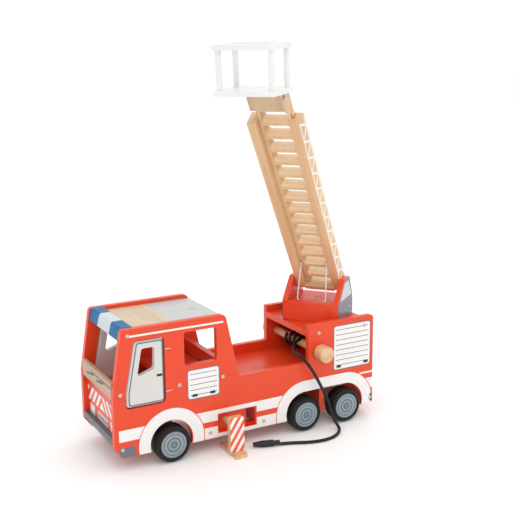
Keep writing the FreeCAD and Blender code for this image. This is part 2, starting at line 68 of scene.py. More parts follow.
# ---------------------------------------------------------------- material building
class Shader:
    """One procedural material and short ways to add nodes to it."""

    def __init__(self, name, roughness=0.5, coat=0.0, metallic=0.0, specular=0.5):
        self.material = bpy.data.materials.new(name)
        self.material.use_nodes = True
        self.tree = self.material.node_tree
        self.surface = self.tree.nodes["Principled BSDF"]
        self.surface.inputs["Roughness"].default_value = roughness
        self.surface.inputs["Metallic"].default_value = metallic
        self.surface.inputs["Coat Weight"].default_value = coat
        self.surface.inputs["Coat Roughness"].default_value = 0.18
        self.surface.inputs["Specular IOR Level"].default_value = specular
        self.place = self.add("ShaderNodeTexCoord").outputs["Object"]

    def add(self, kind, **settings):
        node = self.tree.nodes.new(kind)
        for key, value in settings.items():
            setattr(node, key, value)
        return node

    def join(self, source, target):
        self.tree.links.new(source, target)

    def put(self, target, value):
        """Links an output, or writes a number or colour."""
        if isinstance(value, bpy.types.NodeSocket):
            self.join(value, target)
        else:
            target.default_value = value

    def math(self, operation, a, b=0.0):
        node = self.add("ShaderNodeMath", operation=operation)
        for target, value in zip(node.inputs, (a, b)):
            self.put(target, value)
        return node.outputs[0]

    def mapped(self, scale, rotation=None):
        """Object coordinates, turned by a rotation matrix, then scaled."""
        source = self.place
        if rotation is not None:
            turn = self.add("ShaderNodeMapping", vector_type="POINT")
            turn.inputs["Rotation"].default_value = rotation.to_euler()
            self.join(source, turn.inputs["Vector"])
            source = turn.outputs["Vector"]
        node = self.add("ShaderNodeMapping", vector_type="POINT")
        node.inputs["Scale"].default_value = scale
        self.join(source, node.inputs["Vector"])
        return node.outputs["Vector"]

    def noise(self, vector, scale, detail=3.0, roughness=0.55):
        node = self.add("ShaderNodeTexNoise")
        node.inputs["Scale"].default_value = scale
        node.inputs["Detail"].default_value = detail
        node.inputs["Roughness"].default_value = roughness
        self.join(vector, node.inputs["Vector"])
        return node.outputs["Fac"]

    def span(self, value, low, high, out_low=0.0, out_high=1.0):
        node = self.add("ShaderNodeMapRange", interpolation_type="LINEAR", clamp=True)
        for target, number in zip(node.inputs, (value, low, high, out_low, out_high)):
            self.put(target, number)
        return node.outputs["Result"]

    def mix(self, factor, a, b, blend="MIX"):
        node = self.add("ShaderNodeMix", data_type="RGBA", blend_type=blend)
        self.put(node.inputs["Factor"], factor)
        self.put(node.inputs["A"], a)
        self.put(node.inputs["B"], b)
        return node.outputs["Result"]

    def parts(self, vector=None):
        node = self.add("ShaderNodeSeparateXYZ")
        self.join(vector or self.place, node.inputs[0])
        return node.outputs

    def bump(self, height, distance, strength, after=None):
        node = self.add("ShaderNodeBump")
        node.inputs["Distance"].default_value = distance
        node.inputs["Strength"].default_value = strength
        self.join(height, node.inputs["Height"])
        if after is not None:
            self.join(after, node.inputs["Normal"])
        return node.outputs["Normal"]

    def edges(self, radius):
        """1 along convex and concave edges, 0 on flat faces."""
        rounded = self.add("ShaderNodeBevel", samples=4)
        rounded.inputs["Radius"].default_value = radius
        flat = self.add("ShaderNodeNewGeometry")
        dot = self.add("ShaderNodeVectorMath", operation="DOT_PRODUCT")
        self.join(rounded.outputs["Normal"], dot.inputs[0])
        self.join(flat.outputs["Normal"], dot.inputs[1])
        return self.span(dot.outputs["Value"], 0.97, 0.80)

    def finish(self, colour, normal=None, roughness=None):
        self.put(self.surface.inputs["Base Color"], colour)
        if normal is not None:
            self.join(normal, self.surface.inputs["Normal"])
        if roughness is not None:
            self.join(roughness, self.surface.inputs["Roughness"])
        return self.material


def srgb(r, g, b):
    """Linear colour of an sRGB colour given as 0 to 255."""
    def linear(v):
        v /= 255
        return v / 12.92 if v <= 0.04045 else ((v + 0.055) / 1.055) ** 2.4
    return (linear(r), linear(g), linear(b), 1.0)


def shade(colour, factor):
    return tuple(min(1.0, v * factor) for v in colour[:3]) + (1.0,)


def frame_rotation(forward, up):
    """Rotation whose local -Y is forward and whose local Z is up."""
    y = -forward.normalized()
    z = up.normalized()
    return Matrix((y.cross(z), y, z)).transposed()


LADDER_UP = LADDER_ACROSS.cross(LADDER_ALONG)
LADDER_TURN = frame_rotation(LADDER_ALONG, LADDER_UP)
HOUSE_TURN = frame_rotation(HOUSE_AHEAD, Vector((0, 0, 1)))


def lacquer(name, colour, grain="Y", turn=None, wear=0.35, roughness=0.36):
    """Opaque satin lacquer on plywood: faint grain below, thinner paint along the edges."""
    s = Shader(name, coat=0.16, specular=0.38)
    stretch = {"X": (0.07, 1, 1), "Y": (1, 0.07, 1), "Z": (1, 1, 0.07)}[grain]
    grained = s.mapped(stretch, turn.inverted() if turn else None)
    fibres = s.noise(grained, 620, 4.0, 0.6)
    clouds = s.noise(s.place, 18, 3.0)
    tone = s.span(clouds, 0.3, 0.7, 0.955, 1.03)
    base = s.mix(1.0, colour, tone, "MULTIPLY")
    base = s.mix(s.span(fibres, 0.55, 0.85, 0.0, 0.16), base, shade(colour, 0.82))
    patchy = s.math("MULTIPLY", s.edges(0.9 * MM), s.span(s.noise(s.place, 160), 0.35, 0.7, 0.15, 1.0))
    base = s.mix(s.math("MULTIPLY", patchy, wear), base, srgb(250, 176, 142))
    normal = s.bump(fibres, 0.05 * MM, 0.35)
    normal = s.bump(clouds, 0.6 * MM, 0.08, normal)
    gloss = s.span(s.noise(s.place, 45), 0.3, 0.7, roughness - 0.05, roughness + 0.08)
    return s.finish(base, normal, gloss)


def bare_wood(name, light, dark, turn=None, grain="Y"):
    """Clear-lacquered pale wood with fine pores and broad growth bands along the grain."""
    s = Shader(name, coat=0.12)
    stretch = {"X": (0.045, 1, 1), "Y": (1, 0.045, 1), "Z": (1, 1, 0.045)}[grain]
    along = s.mapped(stretch, turn.inverted() if turn else None)
    bands = s.noise(along, 70, 5.0, 0.62)
    fibres = s.noise(along, 900, 3.0, 0.5)
    flecks = s.noise(along, 330, 2.0, 0.5)
    clouds = s.noise(s.place, 14, 2.0)
    base = s.mix(s.span(bands, 0.36, 0.66), light, dark)
    base = s.mix(s.span(fibres, 0.52, 0.8, 0.0, 0.38), base, shade(dark, 0.72))
    base = s.mix(s.span(flecks, 0.64, 0.74, 0.0, 0.35), base, shade(dark, 0.62))
    base = s.mix(1.0, base, s.span(clouds, 0.3, 0.7, 0.94, 1.05), "MULTIPLY")
    normal = s.bump(fibres, 0.06 * MM, 0.45)
    return s.finish(base, normal, s.span(bands, 0.3, 0.7, 0.42, 0.52))


def ink(name, colour):
    """Screen-printed ink: flat colour with slight mottling."""
    s = Shader(name, roughness=0.4, coat=0.2)
    mottle = s.noise(s.place, 260, 3.0)
    base = s.mix(1.0, colour, s.span(mottle, 0.3, 0.7, 0.96, 1.02), "MULTIPLY")
    base = s.mix(s.span(s.noise(s.place, 30, 2.0), 0.35, 0.7, 0.0, 0.10), base, shade(colour, 0.88))
    fine = s.noise(s.mapped((1, 0.08, 1)), 600, 3.0)
    return s.finish(base, s.bump(fine, 0.04 * MM, 0.3))


def metal(name, colour, roughness):
    s = Shader(name, roughness=roughness, metallic=1.0)
    scratches = s.noise(s.mapped((1, 0.1, 1)), 1500, 3.0)
    base = s.mix(s.span(s.noise(s.place, 200), 0.3, 0.7, 0.0, 0.3), colour, shade(colour, 0.75))
    return s.finish(base, s.bump(scratches, 0.02 * MM, 0.4),
                    s.span(scratches, 0.3, 0.7, roughness - 0.08, roughness + 0.12))


def rubber(name, colour, roughness):
    s = Shader(name, roughness=roughness, specular=0.32)
    grain = s.noise(s.place, 900, 3.0)
    dust = s.span(s.noise(s.place, 60, 4.0), 0.5, 0.8, 0.0, 0.22)
    base = s.mix(dust, colour, srgb(70, 68, 66))
    return s.finish(base, s.bump(grain, 0.08 * MM, 0.35),
                    s.span(s.noise(s.place, 120), 0.3, 0.7, roughness - 0.08, roughness + 0.12))


def striped_light_bar():
    """White middle between two blue ends, each a lacquered block."""
    s = Shader("light_bar_blue_white", coat=0.03, specular=0.12)
    white_half = 22.6 * MM
    x = s.math("ABSOLUTE", s.parts()["X"])
    blue = s.math("GREATER_THAN", x, white_half)
    seam = s.span(s.math("ABSOLUTE", s.math("SUBTRACT", x, white_half)), 0.25 * MM, 0.7 * MM, 0.75, 1.0)
    colour = s.mix(blue, srgb(208, 214, 216), srgb(10, 104, 156))
    colour = s.mix(1.0, colour, seam, "MULTIPLY")
    fibres = s.noise(s.mapped((0.07, 1, 1)), 620, 4.0)
    wear = s.math("MULTIPLY", s.edges(0.8 * MM), 0.35)
    colour = s.mix(wear, colour, srgb(150, 190, 214))
    return s.finish(colour, s.bump(fibres, 0.05 * MM, 0.4),
                    s.span(s.noise(s.place, 60), 0.3, 0.7, 0.3, 0.42))


def striped_plate():
    """Orange and white diagonal print on the plate's outer face, bare plywood elsewhere."""
    s = Shader("outrigger_plate_stripes", coat=0.2)
    place = s.parts()
    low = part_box("left_outrigger_plate")[0]
    pitch, slope, start = 11.0 * MM, 0.66, 8.12    # start holds whole stripes that keep FRACT positive
    y = s.math("SUBTRACT", place["Y"], low.y)
    z = s.math("SUBTRACT", place["Z"], low.z)
    run = s.math("SUBTRACT", s.math("MULTIPLY", z, slope), y)
    phase = s.math("FRACT", s.math("ADD", s.math("DIVIDE", run, pitch), start))
    stripe = s.math("GREATER_THAN", phase, 0.5)
    colour = s.mix(stripe, srgb(243, 240, 238), srgb(234, 88, 40))
    normal = s.add("ShaderNodeNewGeometry").outputs["Normal"]
    across = s.math("ABSOLUTE", s.parts(normal)["X"])
    face = s.math("GREATER_THAN", across, 0.85)
    fibres = s.noise(s.mapped((1, 1, 0.06)), 700, 4.0)
    plies = s.math("FRACT", s.math("DIVIDE", place["X"], 1.6 * MM))
    wood = s.mix(s.span(fibres, 0.35, 0.7), srgb(238, 200, 156), srgb(214, 164, 112))
    wood = s.mix(s.span(plies, 0.45, 0.55, 0.0, 0.35), wood, srgb(178, 124, 78))
    colour = s.mix(face, wood, colour)
    return s.finish(colour, s.bump(fibres, 0.05 * MM, 0.4),
                    s.span(s.noise(s.place, 60), 0.3, 0.7, 0.34, 0.48))


def ringed_disc():
    """Printed wheel disc: grey rings about the object's own X axis, from start radii in mm."""
    s = Shader("wheel_disc_print", coat=0.15)
    reach = 20.0
    place = s.parts()
    radius = s.math("SQRT", s.math("ADD", s.math("MULTIPLY", place["Y"], place["Y"]),
                                   s.math("MULTIPLY", place["Z"], place["Z"])))
    light, middle, dark = srgb(146, 158, 164), srgb(110, 126, 134), srgb(80, 96, 104)
    rings = [(0.0, middle), (3.4, dark), (4.5, middle), (5.6, light), (7.6, middle), (8.4, dark),
             (9.6, middle), (10.4, light), (13.4, middle), (14.2, dark), (15.0, light), (17.2, middle)]
    ramp = s.add("ShaderNodeValToRGB")
    ramp.color_ramp.interpolation = "CONSTANT"
    while len(ramp.color_ramp.elements) < len(rings):
        ramp.color_ramp.elements.new(0.5)
    for element, (start, colour) in zip(ramp.color_ramp.elements, rings):
        element.position = start / reach
        element.color = colour
    soft = s.math("ADD", radius, s.span(s.noise(s.place, 900), 0.3, 0.7, -0.12 * MM, 0.12 * MM))
    s.join(s.math("DIVIDE", soft, reach * MM), ramp.inputs["Fac"])
    fibres = s.noise(s.mapped((1, 0.08, 1)), 700, 3.0)
    colour = s.mix(s.span(fibres, 0.45, 0.8, 0.0, 0.2), ramp.outputs["Color"], dark)
    return s.finish(colour, s.bump(fibres, 0.05 * MM, 0.4),
                    s.span(s.noise(s.place, 80), 0.3, 0.7, 0.38, 0.52))


def slotted_board():
    """Ladder wood: sawn slot walls are browner than its faces, partly burnt wood and partly painted shade
    that is deepest on walls facing down the ladder; faces looking up the ladder get a pale painted
    highlight.
    """
    s = Shader("ladder_beech_slotted", coat=0.12)
    along = s.mapped((1, 0.045, 1), LADDER_TURN.inverted())
    bands = s.noise(along, 70, 5.0, 0.62)
    fibres = s.noise(along, 900, 3.0, 0.5)
    base = s.mix(s.span(bands, 0.36, 0.66), srgb(234, 200, 156), srgb(218, 176, 131))
    base = s.mix(s.span(fibres, 0.52, 0.8, 0.0, 0.38), base, srgb(172, 130, 92))
    normal = s.add("ShaderNodeTexCoord").outputs["Normal"]
    facing = []
    for direction in (LADDER_UP, LADDER_ALONG):
        dot = s.add("ShaderNodeVectorMath", operation="DOT_PRODUCT")
        s.join(normal, dot.inputs[0])
        dot.inputs[1].default_value = direction
        facing.append(dot.outputs["Value"])
    wall = s.span(s.math("ABSOLUTE", facing[0]), 0.35, 0.6, 1.0, 0.0)
    # Slot walls turn browner, partly from mottled burnt wood and partly from painted shade that deepens on
    # walls facing down the ladder.
    burn_and_shade = s.math("MULTIPLY", wall, s.span(facing[1], -0.6, 0.4, 0.55, 0.12))
    burn_and_shade_mottle = s.span(s.noise(s.place, 150, 3.0), 0.3, 0.7, 0.6, 1.0)
    base = s.mix(s.math("MULTIPLY", burn_and_shade, burn_and_shade_mottle), base, srgb(138, 94, 58))
    # Painted highlight: faces looking up the ladder are mixed towards pale cream.
    lit = s.span(facing[1], 0.45, 0.75, 0.0, 0.7)
    base = s.mix(lit, base, srgb(252, 228, 188))
    return s.finish(base, s.bump(fibres, 0.06 * MM, 0.45), s.span(bands, 0.3, 0.7, 0.42, 0.52))


RED = srgb(230, 69, 30)
WHITE = srgb(240, 238, 236)
MATERIALS = {
    "red_side": lacquer("red_lacquer_side", RED),
    "red_across": lacquer("red_lacquer_across", RED, grain="X"),
    "red_upright": lacquer("red_lacquer_upright", RED, grain="Z"),
    "red_turned": lacquer("red_lacquer_turntable", RED, turn=HOUSE_TURN),
    "door": lacquer("door_lacquer", srgb(214, 212, 208), grain="Z", wear=0.12),
    "roof_grey": lacquer("roof_grey_lacquer", srgb(196, 198, 199), grain="X", wear=0.05),
    "roof_wood": bare_wood("roof_clear_wood", srgb(220, 200, 170), srgb(202, 178, 146), grain="X"),
    "bumper": lacquer("bumper_grey_lacquer", srgb(80, 88, 93), grain="X", wear=0.08),
    "pale_wood": bare_wood("pale_wood_across", srgb(232, 196, 152), srgb(208, 162, 116), grain="X"),
    "bar_wood": bare_wood("wiper_bar_wood", srgb(196, 164, 138), srgb(176, 140, 116), grain="X"),
    "slotted_wood": slotted_board(),
    "ladder_wood": bare_wood("ladder_beech", srgb(230, 196, 154), srgb(214, 173, 130), LADDER_TURN),
    "block_wood": bare_wood("basket_block_beech", srgb(208, 182, 150), srgb(192, 163, 130), LADDER_TURN),
    "white": lacquer("white_lacquer", srgb(232, 233, 231), grain="Z", wear=0.0, roughness=0.3),
    "steel": metal("bright_wire", (0.78, 0.77, 0.74, 1), 0.28),
    "screw": metal("screw_head", (0.70, 0.63, 0.54, 1), 0.36),
    "tyre": rubber("tyre_rubber", srgb(13, 13, 14), 0.5),
    "hose": rubber("hose_rubber", srgb(22, 22, 24), 0.42),
    "nozzle": rubber("nozzle_plastic", srgb(38, 38, 42), 0.4),
    "print_white": ink("white_ink", WHITE),
    "print_grey": ink("grey_ink", srgb(96, 108, 122)),
    "print_dark": ink("dark_grey_ink", srgb(104, 108, 120)),
    "print_line": ink("line_ink", srgb(70, 72, 80)),
    "print_black": ink("black_ink", srgb(26, 26, 28)),
    "print_pale": ink("pale_grey_ink", srgb(206, 206, 210)),
    "print_blue": ink("blue_ink", srgb(70, 84, 150)),
    "print_slate": ink("slate_ink", srgb(84, 104, 116)),
    "print_glass": ink("glass_ink", srgb(200, 204, 208)),
    "print_lattice": ink("lattice_ink", srgb(244, 240, 232)),
    "print_red": ink("red_ink", srgb(200, 62, 58)),
    "light_bar": striped_light_bar(),
    "plate": striped_plate(),
    "disc": ringed_disc(),
}

NODE_LOOKS = {
    "red_side": ["left_side_panel", "right_side_panel", "floor_board"],
    "red_across": ["front_board", "rear_wall", "rear_deck", "cab_rear_wall", "front_bulkhead",
                   "rear_bulkhead", "wheel_divider", "seat_board"],
    "red_upright": ["left_guide_board", "right_guide_board"],
    "red_turned": ["turntable_base", "left_cheek", "right_cheek", "turntable_front_board"],
    "door": ["left_door", "right_door"],
    "roof_grey": ["sliding_roof"],
    "roof_wood": ["front_roof"],
    "bar_wood": ["wiper_bar"],
    "bumper": ["front_bumper"],
    "pale_wood": ["axle_blocks", "reel_dowel", "reel_knobs", "left_outrigger_dowel",
                  "right_outrigger_dowel", "left_outrigger_foot", "right_outrigger_foot",
                  "front_axle", "middle_axle", "rear_axle"],
    "ladder_wood": ["left_ladder_rail", "right_ladder_rail", "ladder_crossbar"],
    "block_wood": ["basket_block"],
    "slotted_wood": ["extension_board"],
    "white": ["basket_floor", "basket_posts", "basket_rail", "basket_brackets"],
    "steel": ["prop_wire", "door_hinge_wires", "door_pins", "turntable_bolt", "turntable_nut",
              "basket_hinge_pin", "ladder_pivot_pins"],
    "screw": ["body_screws"],
    "tyre": ["front_wheels", "middle_wheels", "rear_wheels"],
    "hose": ["hose_coil", "fire_hose"],
    "nozzle": ["hose_nozzle"],
    "light_bar": ["light_bar"],
    "plate": ["left_outrigger_plate", "right_outrigger_plate"],
}
ROUNDED = {  # edge rounding in mm of boards that stay as CAD made them
    0.9: ["left_side_panel", "right_side_panel", "rear_deck", "rear_wall", "left_cheek", "right_cheek",
          "turntable_front_board", "cab_rear_wall", "seat_board", "sliding_roof", "light_bar",
          "left_door", "right_door", "left_ladder_rail", "right_ladder_rail", "basket_floor",
          "basket_rail", "basket_block", "left_outrigger_plate", "right_outrigger_plate",
          "left_outrigger_foot", "right_outrigger_foot"],
    0.4: ["extension_board", "ladder_crossbar", "front_roof", "floor_board", "turntable_base",
          "left_outrigger_dowel", "right_outrigger_dowel", "basket_brackets", "turntable_bolt",
          "turntable_nut"],
}


def dress_nodes():
    for look, names in NODE_LOOKS.items():
        for name in names:
            mesh = NODES[name].data
            mesh.materials.clear()
            mesh.materials.append(MATERIALS[look])
    for width, names in ROUNDED.items():
        for name in names:
            bevel = NODES[name].modifiers.new("rounded_edges", "BEVEL")
            bevel.width = width * MM
            bevel.segments = 2
            bevel.limit_method = "ANGLE"
            bevel.angle_limit = math.radians(35)
            bevel.harden_normals = True


# ---------------------------------------------------------------- piece building
def new_object(name, mesh, look, body, origin=None):
    """A shown piece: its mesh is in the frame, or about origin when that is given."""
    piece = bpy.data.objects.new(name, mesh)
    bpy.context.scene.collection.objects.link(piece)
    if origin is not None:
        piece.location = origin
    mesh.materials.append(MATERIALS[look])
    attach(piece, body)
    return piece


def rounded_outline(corners, segments=6):
    """2-D points through (u, v, radius) corners."""
    points = []
    for i, (u, v, r) in enumerate(corners):
        here = Vector((u, v))
        if r <= 0:
            points.append(here)
            continue
        back = (Vector(corners[i - 1][:2]) - here).normalized()
        ahead = (Vector(corners[(i + 1) % len(corners)][:2]) - here).normalized()
        half = back.angle(ahead) / 2
        centre = here + (back + ahead).normalized() * (r / math.sin(half))
        start = here + back * (r / math.tan(half)) - centre
        end = here + ahead * (r / math.tan(half)) - centre
        sweep = start.angle_signed(end)
        for k in range(segments + 1):
            a = -sweep * k / segments
            c, s = math.cos(a), math.sin(a)
            points.append(centre + Vector((start.x * c - start.y * s, start.x * s + start.y * c)))
    return points


def rectangle(u0, u1, v0, v1, r=0.0):
    return rounded_outline([(u0, v0, r), (u1, v0, r), (u1, v1, r), (u0, v1, r)])


def arc(cu, cv, r, start, end, segments=40):
    """Points on a circle from one angle to another, in degrees."""
    angles = [math.radians(start + (end - start) * k / segments) for k in range(segments + 1)]
    return [Vector((cu + r * math.cos(a), cv + r * math.sin(a))) for a in angles]


def flat_print(name, loops, place, look, body, thick=0.1 * MM):
    """Thin printed patch. loops are 2-D outlines in mm; place(u, v, lift) gives the 3-D point."""
    curve = bpy.data.curves.new(name + "_outline", "CURVE")
    curve.dimensions = "2D"
    curve.fill_mode = "BOTH"
    for loop in loops:
        spline = curve.splines.new("POLY")
        spline.points.add(len(loop) - 1)
        for point, p in zip(spline.points, loop):
            point.co = (p.x, p.y, 0, 1)
        spline.use_cyclic_u = True
    holder = bpy.data.objects.new(name + "_outline", curve)
    flat = bpy.data.meshes.new_from_object(holder)
    bpy.data.objects.remove(holder)
    bpy.data.curves.remove(curve)
    work = bmesh.new()
    work.from_mesh(flat)
    bpy.data.meshes.remove(flat)
    bmesh.ops.remove_doubles(work, verts=work.verts, dist=1e-4)
    top = bmesh.ops.extrude_face_region(work, geom=work.faces[:])
    raised = {v for v in top["geom"] if isinstance(v, bmesh.types.BMVert)}
    for v in work.verts:
        v.co = place(v.co.x, v.co.y, thick if v in raised else -thick)
    bmesh.ops.recalc_face_normals(work, faces=work.faces)
    mesh = bpy.data.meshes.new(name)
    work.to_mesh(mesh)
    work.free()
    return new_object(name, mesh, look, body)


def on_side(sign, x=SIDE_X):
    """Placer for prints on a side face: u is mm behind FRONT, v is mm above the ground."""
    return lambda u, v, lift: Vector((sign * (x + lift), FRONT + u * MM, v * MM))


def lathe(name, profile, steps, look, body, origin):
    """Closed solid of revolution; profile is (radius, along) in mm, from axis to axis."""
    work = bmesh.new()
    rings = []
    for r, along in profile:
        if r == 0:
            rings.append([work.verts.new((along * MM, 0, 0))])
            continue
        rings.append([work.verts.new((along * MM, r * MM * math.cos(a), r * MM * math.sin(a)))
                      for a in (2 * math.pi * k / steps for k in range(steps))])
    for one, two in zip(rings, rings[1:]):
        for k in range(steps):
            quad = [one[k % len(one)], one[(k + 1) % len(one)], two[(k + 1) % len(two)], two[k % len(two)]]
            corners = list(dict.fromkeys(quad))
            if len(corners) > 2:
                work.faces.new(corners)
    bmesh.ops.recalc_face_normals(work, faces=work.faces)
    mesh = bpy.data.meshes.new(name)
    work.to_mesh(mesh)
    work.free()
    mesh.shade_smooth()
    return new_object(name, mesh, look, body, origin)


# ---------------------------------------------------------------- side prints
ARCH_INNER, ARCH_OUTER, ARCH_Z = 30.35, 46.3, 27.3
PANEL_BOTTOM = 19.2
ARCH_GAP = 1.2                         # red line between a stripe and the white band of an arch
RECESS = (145.8, 205.4)                # white bands stop beside the outrigger recess


def arch_band(front_y, rear_y):
    """White band round a wheel arch that spans the given axle places."""
    drop = ARCH_Z - PANEL_BOTTOM
    outer = math.degrees(math.asin(drop / ARCH_OUTER))
    inner = math.degrees(math.asin(drop / ARCH_INNER))
    loop = arc(rear_y, ARCH_Z, ARCH_OUTER, -outer, 90) + arc(front_y, ARCH_Z, ARCH_OUTER, 90, 180 + outer)
    loop += arc(front_y, ARCH_Z, ARCH_INNER, 180 + inner, 90) + arc(rear_y, ARCH_Z, ARCH_INNER, 90, -inner)
    return loop


def stripe_to_arch(u0, v0, v1, centre):
    """Horizontal stripe whose rear end follows the arch band in front of centre."""
    r = ARCH_OUTER + ARCH_GAP
    top = 180 - math.degrees(math.asin((v1 - ARCH_Z) / r))
    low = 180 - math.degrees(math.asin((v0 - ARCH_Z) / r))
    return [Vector((u0, v0)), *arc(centre, ARCH_Z, r, low, top, 10), Vector((u0, v1))]


def stripe_from_arch(u1, v0, v1, centre):
    """Horizontal stripe whose front end follows the arch band behind centre."""
    r = ARCH_OUTER + ARCH_GAP
    top = math.degrees(math.asin((v1 - ARCH_Z) / r))
    low = math.degrees(math.asin((v0 - ARCH_Z) / r))
    return [Vector((u1, v1)), *arc(centre, ARCH_Z, r, top, low, 10), Vector((u1, v0))]


def shutter(prefix, u0, u1, v0, v1, lines, handles, place, body):
    """Roller shutter print: white panel with a grey border, thin lines and two black handles."""
    inner = rectangle(u0 + 1.3, u1 - 1.3, v0 + 1.3, v1 - 1.3, 3.4)
    flat_print(prefix + "_border", [rectangle(u0, u1, v0, v1, 4.5), inner],
               place, "print_grey", body)
    flat_print(prefix + "_panel", [inner], place, "print_white", body, 0.08 * MM)
    slats = [rectangle(u0 + 4.2, u1 - 4.2, z - 0.4, z + 0.4) for z in lines]
    flat_print(prefix + "_slats", slats, place, "print_line", body, 0.12 * MM)
    grips = [rectangle(a, b, v0 + 3.4, v0 + 7.2, 0.4) for a, b in handles]
    flat_print(prefix + "_grips", grips, place, "print_black", body, 0.14 * MM)


def side_prints(side, sign):
    place = on_side(sign)
    body = "truck_body"
    front, middle, rear = 79.0, 283.0, 351.0    # middles of the arch bands
    bands = [rectangle(24, 157, 178, 180.6, 1.2),
             arch_band(front, front), arch_band(middle, rear),
             stripe_to_arch(6.5, 41.4, 57.0, front),
             stripe_from_arch(RECESS[0], 43.3, 58.5, front),
             stripe_to_arch(RECESS[1], 43.3, 58.5, middle),
             stripe_from_arch(RECESS[0], 19.4, 35.2, front),
             stripe_to_arch(RECESS[1], 19.4, 35.2, middle),
             rectangle(376, 399.2, 66.4, 69.0, 0.4),
             stripe_from_arch(399.2, 42.7, 58.6, rear)]
    flat_print(side + "_white_bands", bands, place, "print_white", body)
    over_and_under = [rectangle(*RECESS, 52.4, 58.5), rectangle(*RECESS, 19.4, 24.6)]
    flat_print(side + "_recess_bands", over_and_under, place, "print_white", body)
    patch = rounded_outline([(7.5, 21.5, 0), (12.0, 19.6, 2), (28.2, 19.6, 0), (28.2, 33.6, 0.5),
                             (5.5, 33.6, 1.5)])
    flat_print(side + "_grey_patches", [patch, rectangle(394.8, 399.4, 22, 34, 0.8)],
               place, "print_dark", body)
    shutter(side + "_locker", 102.6, 149.8, 79.6, 121.1, (114.4, 107.2, 99.9, 92.7, 85.4),
            ((109.5, 117.0), (135.5, 143.0)), place, body)
    shutter(side + "_shutter", 330.4, 394.7, 79.7, 146.4, [139.5 - 7.5 * k for k in range(8)],
            ((336.0, 343.5), (382.5, 390.5)), place, body)


# ---------------------------------------------------------------- door, front and ladder prints
DOOR_OUTLINE = [(19.2, 84.5), (72.4, 84.5), (72.4, 171.5), (32.5, 171.5), (23.2, 124.0), (19.2, 104.0)]


def inset(corners, distance, radius):
    """Outline moved inwards from straight edges, with rounded corners."""
    lines = []
    for here, following in zip(corners, corners[1:] + corners[:1]):
        along = (Vector(following) - Vector(here)).normalized()
        inward = Vector((-along.y, along.x))
        lines.append((Vector(here) + inward * distance, along))
    moved = []
    for (p, u), (q, w) in zip(lines[-1:] + lines[:-1], lines):
        cross = u.x * w.y - u.y * w.x
        step = ((q.x - p.x) * w.y - (q.y - p.y) * w.x) / cross
        point = p + u * step
        moved.append((point.x, point.y, radius))
    return rounded_outline(moved)


def door_prints(side, sign):
    place = on_side(sign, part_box("left_door")[1].x)
    body = side + "_door"
    flat_print(side + "_door_line", [inset(DOOR_OUTLINE, 2.2, 3.4), inset(DOOR_OUTLINE, 3.8, 2.4)],
               place, "print_slate", body)
    flat_print(side + "_door_handle", [rectangle(60.6, 68.2, 120.6, 123.8, 0.4)], place, "print_black",
               body, 0.14 * MM)


def on_front(node):
    """Placer for prints on a board's front face: u is mm to the left, v is mm above the ground."""
    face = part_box(node)[0].y
    return lambda u, v, lift: Vector((u * MM, face - lift, v * MM))


def slanted(top0, top1, low0, low1, v0, v1):
    """Four-cornered stripe between two heights."""
    return [Vector((low0, v0)), Vector((low1, v0)), Vector((top1, v1)), Vector((top0, v1))]


def stroke(u0, v0, u1, v1, width):
    """Thin straight stroke from one point to another."""
    along = Vector((u1 - u0, v1 - v0)).normalized()
    side = Vector((-along.y, along.x)) * width / 2
    a, b = Vector((u0, v0)), Vector((u1, v1))
    return [a - side, b - side, b + side, a + side]


def front_prints():
    place = on_front("front_board")
    body = "truck_body"
    low, high = 62.5, 82.5
    slants = ((-39.3, -29.4, -56.0, -47.2), (-23.6, -14.9, -41.3, -32.4), (-8.3, 0.0, -25.6, -17.8),
              (0.8, 8.6, 19.3, 26.5), (16.4, 24.4, 34.6, 42.0), (32.6, 40.4, 49.8, 56.0))
    stripes = [slanted(*ends, low, high) for ends in slants]
    stripes += [[Vector((-56, 74.0)), Vector((-47.7, high)), Vector((-56, high))],
                [Vector((56, 74.0)), Vector((56, high)), Vector((48.6, high))],
                [Vector((-9.0, 63.2)), Vector((11.0, 63.2)), Vector((0.4, 74.4))]]
    flat_print("front_chevrons", stripes, place, "print_white", body)
    lamps = [rectangle(-49.4, -30.0, 44.8, 58.5, 1.0), rectangle(31.0, 50.0, 44.8, 58.5, 1.0)]
    flat_print("front_lamps", lamps, place, "print_white", body)
    rims = [loop for a, b in ((-49.4, -30.0), (31.0, 50.0))
            for loop in (rectangle(a + 1.6, b - 1.6, 46.4, 56.9, 0.8),
                         rectangle(a + 2.2, b - 2.2, 47.0, 56.3, 0.6))]
    flat_print("front_lamp_rims", rims, place, "print_grey", body, 0.13 * MM)
    flat_print("number_plate", [rectangle(-19, 22, 45.8, 56.6, 1.2)], place, "print_pale", body)
    bars = [rectangle(-15.5 + 6.4 * k, -11.3 + 6.4 * k, 48.8, 53.6, 0.5) for k in range(6)]
    flat_print("number_plate_bars", bars, place, "print_dark", body, 0.13 * MM)
    squares = [rectangle(-37.5, -29.5, 86.3, 89.6, 0.4), rectangle(31.5, 39.6, 86.3, 89.6, 0.4)]
    flat_print("front_blue_lamps", squares, place, "print_blue", body, 0.13 * MM)
    wiper_bar = on_front("wiper_bar")
    for k, (shift, reach) in enumerate(((0.0, 25.2), (39.5, 15.8))):
        strokes = [stroke(-38.2, 106.4, -11.0, 110.2, 3.0), stroke(-21.5, 112.9, -10.4, 112.7, 1.6),
                   stroke(-13.0, 109.4, -9.2, 113.2, 2.0), stroke(-10.2, 112.4, reach, 112.2, 1.8)]
        for n, line in enumerate(strokes):
            moved = [point + Vector((shift, 0)) for point in line]
            flat_print(f"wiper_{k + 1}_stroke_{n + 1}", [moved], wiper_bar, "print_black", body,
                       (0.10 + 0.01 * n) * MM)


def on_turned(origin, along, up, across):
    """Placer on a turned face: u runs along, v up, and lift away from it; all from origin."""
    return lambda u, v, lift: origin + along * (u * MM) + up * (v * MM) + across * lift


RAIL_OUTER, RAIL_FROM, RAIL_TO, RAIL_HALF = 34.6, -6.5, 306.0, 9.9
RAIL_LINE, LATTICE_LINE, LATTICE_CELLS = 2.2, 2.7, 23


